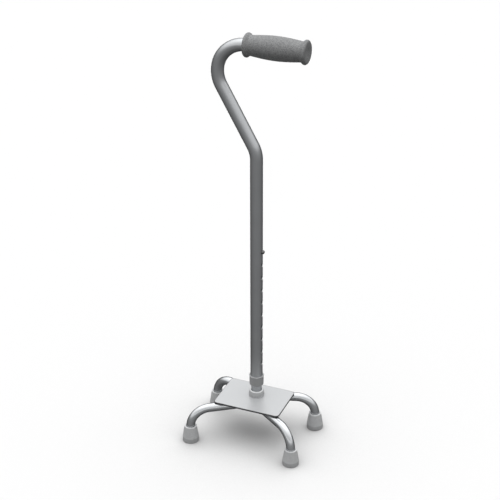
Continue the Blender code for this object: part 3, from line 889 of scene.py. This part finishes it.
def tip_outline():
    """Flared cup: socket floor, socket, rim, flare, straight band and a sole with round grooves."""
    socket_r = LEG_R + GAP
    rim_r = socket_r + TIP_WALL
    foot_r = (tip_high.x - tip_low.x) / 2
    top = tip_high.z
    lip = 0.8 * MM
    edge = 1.0 * MM
    outline = [(0, TIP_FLOOR), (socket_r / 2, TIP_FLOOR)]
    outline += corner((socket_r - lip, TIP_FLOOR + lip), lip, -90, 0)
    outline += [(socket_r, (TIP_FLOOR + top) / 2)]
    outline += corner((socket_r + lip, top - lip), lip, 180, 90)
    outline += corner((rim_r - lip, top - lip), lip, 90, -45)
    outline += [(rim_r - 0.35 * MM, top - 1.9 * MM), (rim_r - 0.2 * MM, top - 2.6 * MM)]
    for share in (0.25, 0.5, 0.75):
        outline.append((rim_r + (foot_r - rim_r) * share, top - (top - TIP_BAND) * share))
    outline += corner((foot_r - edge, TIP_BAND), edge, 24, 0)
    outline += [(foot_r, TIP_BAND * 0.6), (foot_r, TIP_BAND * 0.3)]
    outline += corner((foot_r - edge, edge), edge, 0, -90)
    for radius in TIP_GROOVES:
        outline += [(radius + GROOVE_HALF, 0), (radius + GROOVE_FLOOR_HALF, GROOVE_DEPTH)]
        outline += [(radius - GROOVE_FLOOR_HALF, GROOVE_DEPTH), (radius - GROOVE_HALF, 0)]
    outline.append((0, 0))
    return outline


def make_tips(finish):
    """Rubber tip on each foot."""
    for name in FEET:
        low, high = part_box("tip_" + name)
        place = Matrix.Translation(((low.x + high.x) / 2, (low.y + high.y) / 2, 0))
        tip = turned("rubber_foot_" + name, tip_outline(), finish, place, closed=False)
        put(evened(tip), "base", "tip_rubber", "tip_" + name)


def make_boot(finish):
    """Flared rubber ring round the stem's foot, with a raised lip against the stem."""
    inner_r = stem_r + GAP
    lip_r = inner_r + BOOT_LIP
    shoulder_r = inner_r + BOOT_SHOULDER
    foot_r = (boot_high.x - boot_low.x) / 2
    top, low = boot_high.z, boot_low.z
    lip_top = top + BOOT_LIFT
    rim_top = top - 0.9 * MM
    shoulder_top = top - 2.7 * MM
    band_top = low + 2.6 * MM
    inner_edge = 0.4 * MM
    edge = 0.7 * MM
    shoulder = 0.9 * MM
    outline = corner((inner_r + inner_edge, lip_top - inner_edge), inner_edge, 180, 60)
    outline += corner((lip_r - edge, rim_top - edge), edge, 60, 0)
    outline += [(lip_r, shoulder_top + 0.5 * MM), (lip_r + 0.3 * MM, shoulder_top + 0.2 * MM)]
    outline += corner((shoulder_r - shoulder, shoulder_top - shoulder), shoulder, 90, 15)
    outline += [((shoulder_r + foot_r) / 2, band_top + 3.0 * MM), (foot_r - 0.2 * MM, band_top + 1.2 * MM)]
    outline += corner((foot_r - edge, band_top), edge, 20, 0)
    outline += corner((foot_r - edge, low + edge), edge, 0, -90)
    outline += [(inner_r, low)]
    boot = turned("flared_boot", outline, finish, about_stem())
    put(evened(boot), "base", "boot_rubber", "stem_boot")


def make_collar(finish):
    """Plastic collar with a rounded rim, a rounded foot, and a cone inside that presses on the ring."""
    bore_r = handle_r + GAP
    stem_bore_r = stem_r + GAP
    top = collar_high.z + COLLAR_LIFT
    low = collar_low.z + COLLAR_FOOT_LIFT
    rim_r = collar_r + COLLAR_RIM
    body_r = collar_r + COLLAR_SIDE
    edge = 0.8 * MM
    inner_edge = 0.3 * MM
    foot = 2.2 * MM
    floor = low + 1.0 * MM
    floor_r = stem_bore_r + 1.0 * MM
    cone_top = floor + 3.5 * MM
    outline = corner((bore_r + inner_edge, top - inner_edge), inner_edge, 180, 90)
    outline += corner((rim_r - edge, top - edge), edge, 90, -50)
    outline += [(body_r, top - 1.9 * MM), (body_r, top - 6 * MM), (body_r, top - 12 * MM)]
    outline += corner((body_r - foot, low + foot), foot, 0, -90)
    outline += corner((stem_bore_r + inner_edge, low + inner_edge), inner_edge, -90, -180)
    outline += [(stem_bore_r, floor), (floor_r, floor), (bore_r, cone_top)]
    collar = turned("collar_shell", outline, finish, about_stem())
    put(evened(collar), "collar", "collar_plastic", "lock_collar")


def grip_outline():
    """Side of the grip from its closed end back to its open one, with a bead at each end."""
    bead_rows = 8
    belly_rows = 40
    bead = []
    for point in corner((0, 0), 1.0, 0, 90):
        out = GRIP_FACE_R + (GRIP_BEAD_R - GRIP_FACE_R) * point[1]
        bead.append((out, GRIP_BEAD * (1 - point[0])))
    for i in range(1, bead_rows + 1):
        share = (i / bead_rows) ** GRIP_SLOPE
        out = GRIP_NECK_R + (GRIP_BEAD_R - GRIP_NECK_R) * (0.5 + 0.5 * math.cos(math.pi * share))
        bead.append((out, GRIP_BEAD + (GRIP_NECK - GRIP_BEAD) * i / bead_rows))
    half = GRIP_LENGTH / 2
    belly = []
    for i in range(1, belly_rows):
        share = 1 - 2 * i / belly_rows
        out = GRIP_NECK_R + (GRIP_BELLY_R - GRIP_NECK_R) * math.cos(math.pi / 2 * share)
        belly.append((out, half + share * (half - GRIP_NECK)))
    far = [(radius, GRIP_LENGTH - along) for radius, along in bead]
    return [*far, *belly, *reversed(bead)]


def make_grip():
    """Moulded foam grip with a dished closed end, its skin a little uneven."""
    bore_r = handle_r + GAP
    bore_end = GRIP_LENGTH - GRIP_END_WALL
    dish_rows = 8
    dish = []
    for i in range(dish_rows + 1):
        share = i / dish_rows
        out = (GRIP_FACE_R - GRIP_DISH_RIM) * share
        dish.append((out, GRIP_LENGTH - GRIP_DISH * (0.5 + 0.5 * math.cos(math.pi * share))))
    outline = [*dish, *grip_outline(), (GRIP_FACE_R - MM, 0.1 * MM), (bore_r + MM, 0.1 * MM)]
    outline += [(bore_r, 0.5 * MM), (bore_r, bore_end), (0, bore_end)]
    turn = Matrix.Rotation(math.radians(90 - GRIP_TILT), 4, 'Y')
    axis = turn.col[2].to_3d()
    start = neck_path()[-1] - axis * GRIP_LAP
    place = Matrix.Translation(start) @ turn
    grip = turned("foam_grip", outline, closed_cell_foam(), place, False, GRIP_COLUMNS)
    bore_skin_r = bore_r + 0.6 * MM
    for vert in grip.data.vertices:
        out = vert.co - start
        out -= out.project(axis)
        if out.length > bore_skin_r:
            broad = noise.noise(vert.co * 45) * 0.12 * MM
            fine = noise.noise(vert.co * 420) * 0.05 * MM
            vert.co += out.normalized() * (broad + fine)
    put(grip, "handle", "grip_foam", "hand_grip")


# Button, spring, bolt, washer and plate

def make_button(finish):
    """Round-nosed button with a flange behind the stem's wall. Its own Z is the cane's X."""
    tip = button_high.x
    back = button_low.x
    flange = back + BUTTON_FLANGE
    flange_r = (button_high.z - button_low.z) / 2
    edge = 0.2 * MM
    outline = [(0, tip)] + arc((0, tip - BUTTON_R), BUTTON_R, 90, 0, 6.0)[1:]
    outline += [(BUTTON_R, flange)]
    outline += corner((flange_r - edge, flange - edge), edge, 90, 0)
    outline += corner((flange_r - edge, back + edge), edge, 0, -90)
    outline.append((0, back))
    place = about_stem(button_height) @ Matrix.Rotation(math.pi / 2, 4, 'Y')
    button = turned("button_dome", outline, finish, place, closed=False)
    put(evened(button), "button", "button_steel", "snap_button")


def make_spring(finish):
    """Leaf spring bent to a V, from the button to the stem's far wall."""
    low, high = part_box("button_spring")
    half = SPRING_THICK / 2
    front, back = high.x - half, low.x + half
    bend = ((front + back) / 2, low.z + half + SPRING_BEND)
    side = [(front, high.z), (front, high.z - SPRING_END), *arc(bend, SPRING_BEND, 0, -180, 10.0),
            (back, high.z - SPRING_END), (back, high.z)]
    line = spaced(side, 3 * MM)
    wide = (high.y - low.y) / 2
    edge = 0.12 * MM
    section = [(wide, half - edge), (wide - edge, half), (edge - wide, half), (-wide, half - edge),
               (-wide, edge - half), (edge - wide, -half), (wide - edge, -half), (wide, edge - half)]
    work = bmesh.new()
    rings = []
    for i, (x, z) in enumerate(line):
        along = (line[min(i + 1, len(line) - 1)] - line[max(i - 1, 0)]).normalized()
        rings.append([work.verts.new((x + along.y * t, stem_y + y, z - along.x * t)) for y, t in section])
    skin(work, rings)
    work.faces.new(rings[0])
    work.faces.new(rings[-1][::-1])
    bmesh.ops.recalc_face_normals(work, faces=work.faces)
    spring = finished(new_piece("leaf_spring", mesh_from(work, "leaf_spring"), finish))
    put(spring, "base", "button_steel", "button_spring")
    press = next(joint for joint in frame["joints"] if joint["name"] == "button_press")
    kept = 1 - press["range_m"][1] / (high.x - low.x)
    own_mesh(spring)


def make_washer(finish):
    """Flat washer with rounded edges, under the plate."""
    low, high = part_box("stem_bolt_washer")
    edge = WASHER_EDGE
    inner = BOLT_HOLE_R + edge
    outer = (high.x - low.x) / 2 - edge
    outline = corner((inner, high.z - edge), edge, 180, 90)
    outline += corner((outer, high.z - edge), edge, 90, 0)
    outline += corner((outer, low.z + edge), edge, 0, -90)
    outline += corner((inner, low.z + edge), edge, -90, -180)
    washer = turned("flat_washer", outline, finish, about_stem())
    put(evened(washer), "base", "zinc_steel", "stem_bolt_washer")


def make_bolt(finish):
    """Hexagon bolt, its head chamfered on the lower face and its shank pointed."""
    low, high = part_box("stem_bolt")
    head_top = low.z + BOLT_HEAD
    face_r = BOLT_FLAT * 0.95
    chamfer = math.tan(math.radians(30))
    sixth = math.pi / 3
    angles = [2 * math.pi * i / BOLT_COLUMNS for i in range(BOLT_COLUMNS)]
    hexagon = [BOLT_FLAT / math.cos((angle + sixth / 2) % sixth - sixth / 2) for angle in angles]
    loops = [[(face_r, low.z)] * BOLT_COLUMNS]
    loops.append([(radius, low.z + (radius - face_r) * chamfer) for radius in hexagon])
    loops.append([(radius, head_top) for radius in hexagon])
    for point in ((BOLT_R, head_top), (BOLT_R, head_top + MM), (BOLT_R, high.z - 0.8 * MM),
                  (BOLT_R - 0.7 * MM, high.z)):
        loops.append([point] * BOLT_COLUMNS)
    work = bmesh.new()
    rings = [[work.verts.new((0, stem_y, low.z))] * BOLT_COLUMNS]
    for loop in loops:
        ring = []
        for angle, (radius, height) in zip(angles, loop):
            point = (radius * math.cos(angle), stem_y + radius * math.sin(angle), height)
            ring.append(work.verts.new(point))
        rings.append(ring)
    rings.append([work.verts.new((0, stem_y, high.z))] * BOLT_COLUMNS)
    skin(work, rings, flipped=True)
    bolt = finished(new_piece("hexagon_bolt", mesh_from(work, "hexagon_bolt"), finish))
    put(bolt, "base", "zinc_steel", "stem_bolt")


def make_plate(finish):
    """Flat plate with round corners and rounded edges, drilled for the bolt."""
    middle = (plate_low + plate_high) / 2
    half_x = (plate_high.x - plate_low.x) / 2
    half_y = (plate_high.y - plate_low.y) / 2

    def border(inset):
        """The plate's border, drawn inwards."""
        points = []
        for x, y, start in ((1, 1, 0), (-1, 1, 90), (-1, -1, 180), (1, -1, 270)):
            centre = (x * (half_x - PLATE_CORNER), middle.y + y * (half_y - PLATE_CORNER))
            points += arc(centre, PLATE_CORNER - inset, start, start + 90, 6.0)
        return spaced(points + points[:1], 6 * MM)[:-1]

    axis = Vector((0, stem_y))
    hole = [axis + (point - axis).normalized() * BOLT_HOLE_R for point in border(0)]
    flat = [[a.lerp(b, share) for a, b in zip(hole, border(PLATE_EDGE))] for share in (0, 0.25, 0.5, 0.75)]
    loops = [(ring, plate_high.z) for ring in flat]
    for height, angles in ((plate_high.z - PLATE_EDGE, (90, 60, 30, 0)),
                           (plate_low.z + PLATE_EDGE, (0, -30, -60, -90))):
        for angle in angles:
            inset = PLATE_EDGE * (1 - math.cos(math.radians(angle)))
            loops.append((border(inset), height + PLATE_EDGE * math.sin(math.radians(angle))))
    loops += [(ring, plate_low.z) for ring in reversed(flat)]
    work = bmesh.new()
    rings = [[work.verts.new((point.x, point.y, height)) for point in ring] for ring, height in loops]
    skin(work, rings, closed=True)
    plate = new_piece("coated_plate", mesh_from(work, "coated_plate"), finish)
    put(evened(finished(plate)), "base", "plate_paint", "base_plate")


# Weld beads

def weld_tree():
    """A rippled bead along each line, thinner at both ends."""
    tree = bpy.data.node_groups.new("weld_bead", 'GeometryNodeTree')
    identifiers = add_inputs(tree, [
        ("Lines", "Geometry"), ("Bead Radius", "Float"), ("Ripple Pitch", "Float"),
        ("Ripple Share", "Float"), ("Finish", "Material")])
    given = Wire(tree).node("NodeGroupInput")
    fine = given.node("GeometryNodeResampleCurve", {"mode": 'LENGTH'},
                      {"Curve": given.other("Lines"), "Length": 0.2 * MM})
    share = given.node("GeometryNodeSplineParameter", output="Factor")
    ripple = share.math('FRACT', share.other("Length") / given.other("Ripple Pitch"))
    wave = 1 - given.other("Ripple Share") * ripple * ripple
    taper = 0.12
    ends = share.step(0.0, taper) * share.step(1.0, 1 - taper)
    unsteady = given.node("ShaderNodeTexNoise", None, {"Scale": 300.0})
    width = given.other("Bead Radius") * wave * (0.35 + 0.65 * ends) * (0.9 + 0.2 * unsteady)
    shape = given.node("GeometryNodeCurvePrimitiveCircle", None, {"Resolution": 14, "Radius": 1.0})
    bead = given.node("GeometryNodeCurveToMesh", None,
                      {"Curve": fine, "Profile Curve": shape, "Scale": width, "Fill Caps": True})
    plain = given.node("GeometryNodeRealizeInstances", None, {"Geometry": bead})
    coated = given.node("GeometryNodeSetMaterial", None,
                        {"Geometry": plain, "Material": given.other("Finish")})
    given.node("NodeGroupOutput", None, {0: coated})
    return tree, identifiers


def make_welds(front, back):
    """Beads between the leg tubes and the plate's underside, four on each tube."""
    height = plate_low.z - BEAD_R + BEAD_SUNK
    out = math.sqrt((LEG_R + BEAD_R - BEAD_SUNK) ** 2 - (height - leg_level) ** 2)
    runs = []
    for path in (front, back):
        dense = spaced(path)
        level = [pair for pair in zip(dense, dense[1:]) if abs(pair[0].z - leg_level) <= 0.1 * MM]
        for hand in (-1, 1):
            for side in (-1, 1):
                run = []
                for point, after in level:
                    if BEAD_START < hand * point.x < BEAD_END:
                        ahead = (after - point).normalized()
                        beside = side * out * Vector((-ahead.y, ahead.x))
                        run.append(Vector((point.x + beside.x, point.y + beside.y, height)))
                runs.append(run)
    welds = line_object("plate_welds", runs)
    run_tree(welds, weld_tree(), {"Bead Radius": BEAD_R, "Ripple Pitch": 1.1 * MM, "Ripple Share": 0.16,
                                  "Finish": weld_metal()})
    mesh = plain_mesh(welds)
    mesh.shade_smooth()
    bpy.data.objects.remove(welds, do_unlink=True)
    put(new_piece("plate_welds", mesh), "base", "zinc_steel")


# Stage

def make_floor():
    """Plain pale paper, darker where the cane hides the sky, and clear from below to show the underside."""
    half = FLOOR_HALF
    mesh = bpy.data.meshes.new("studio_floor")
    mesh.from_pydata([(-half, -half, 0), (half, -half, 0), (half, half, 0), (-half, half, 0)],
                     [], [(0, 1, 2, 3)])
    material, shader, place = new_finish("floor_paper", grey(0.9), 0.9)
    bounce = place.node("ShaderNodeLightPath", output="Is Diffuse Ray")
    open_sky = place.node("ShaderNodeAmbientOcclusion", {"samples": 8}, {"Distance": FLOOR_REACH}, "AO")
    paper = (open_sky * (0.4 + 0.6 * open_sky)).tint(grey(FLOOR_SHADE), grey(FLOOR_OPEN))
    far = place.length().step(BOUNCE_FULL, BOUNCE_LITTLE)
    (bounce * far).tint(paper, grey(BOUNCE_TONE)).feed(shader, "Base Color")
    back = place.node("ShaderNodeNewGeometry", output="Backfacing")
    clear = place.node("ShaderNodeBsdfTransparent")
    top = Wire(place.tree, shader.outputs[0])
    shown = place.node("ShaderNodeMixShader", None, {0: back, 1: top, 2: clear})
    shown.feed(place.tree.nodes["Material Output"], "Surface")
    floor = new_piece("studio_floor", mesh, material)
    floor.visible_glossy = False


def light_studio():
    """Soft dome: pale above, dark low down where polished metal looks for something to reflect."""
    world = bpy.data.worlds.new("studio")
    bpy.context.scene.world = world
    world.use_nodes = True
    world.node_tree.nodes.clear()
    wire = Wire(world.node_tree)
    way = wire.node("ShaderNodeTexCoord", output="Generated")
    height = way.along("Z") * 0.5 + 0.5
    front = way.node("ShaderNodeVectorMath", {"operation": 'DOT_PRODUCT'}, {0: way, 1: FRONT_WAY}, "Value")
    # What is mirrored is brighter on the camera's side low down, and on the far side high up
    high_up = height.step(0.58, 0.72)
    uneven = 1 + front * (0.3 - 0.8 * high_up)
    mirrored = height.node("ShaderNodeValToRGB", {"stops": MIRRORED}, {0: height})
    mirrored = mirrored.vector('MULTIPLY', mirrored, uneven)
    scattered = height.node("ShaderNodeValToRGB", {"stops": SCATTERED}, {0: height})
    ray = wire.node("ShaderNodeLightPath", output="Is Camera Ray")
    lit = ray.other("Is Glossy Ray").tint(scattered, mirrored)
    seen = ray.tint(lit, grey(BACKDROP))
    light = wire.node("ShaderNodeBackground", None, {"Color": seen, "Strength": LIGHT_STRENGTH})
    wire.node("ShaderNodeOutputWorld", None, {"Surface": light})


def make_camera():
    """Camera where the photograph was taken from."""
    data = bpy.data.cameras.new("camera")
    data.lens = LENS
    data.sensor_width = SENSOR
    camera = bpy.data.objects.new("camera", data)
    bpy.context.scene.collection.objects.link(camera)
    right = LOOK.cross(Vector((0, 0, 1))).normalized()
    up = right.cross(LOOK)
    turned_right = right * math.cos(ROLL) - up * math.sin(ROLL)
    turned_up = up * math.cos(ROLL) + right * math.sin(ROLL)
    turn = Matrix((turned_right, turned_up, -LOOK)).transposed().to_4x4()
    camera.matrix_world = Matrix.Translation(EYE) @ turn
    bpy.context.scene.camera = camera
    bpy.context.scene.view_settings.view_transform = 'Standard'


make_camera()
light_studio()
make_floor()

tube_tree = bent_tube_tree()
zinc = zinc_plate()
steel = spring_steel()
inner_plastic = moulded_plastic("inner_plastic", 0.3, stem_high.z - PLASTIC_PALE)

make_handle_tube()
make_grip()
make_collar(moulded_plastic("collar_plastic", 0.37, collar_high.z + COLLAR_LIFT - PLASTIC_PALE))
make_stem(polished_tube("stem_tube_finish", 0.43))
make_button(steel)
make_spring(steel)
# Boot: its pale lip is a painted highlight, and its lighter foot is painted against the contact shade
make_boot(moulded_rubber("boot_rubber", 0.51, boot_high.z - BOOT_HIGHLIGHT, 0.98, boot_low.z + BOOT_FOOT_LIGHT, 0.9))
make_plate(silver_coat())
front_line, back_line = make_legs(polished_tube("leg_tube_finish", 0.5))
make_welds(front_line, back_line)
# Tips: their pale rims are a painted highlight
make_tips(moulded_rubber("tip_rubber", 0.45, tip_high.z - TIP_HIGHLIGHT, 0.7, TIP_BAND, 0.28))
make_washer(zinc)
make_bolt(zinc)
dress_nodes(["stem_plug", "stem_lock_washer", *("tip_washer_" + foot for foot in FEET)], zinc)
dress_nodes(["squeeze_ring", "stem_glide"], inner_plastic)
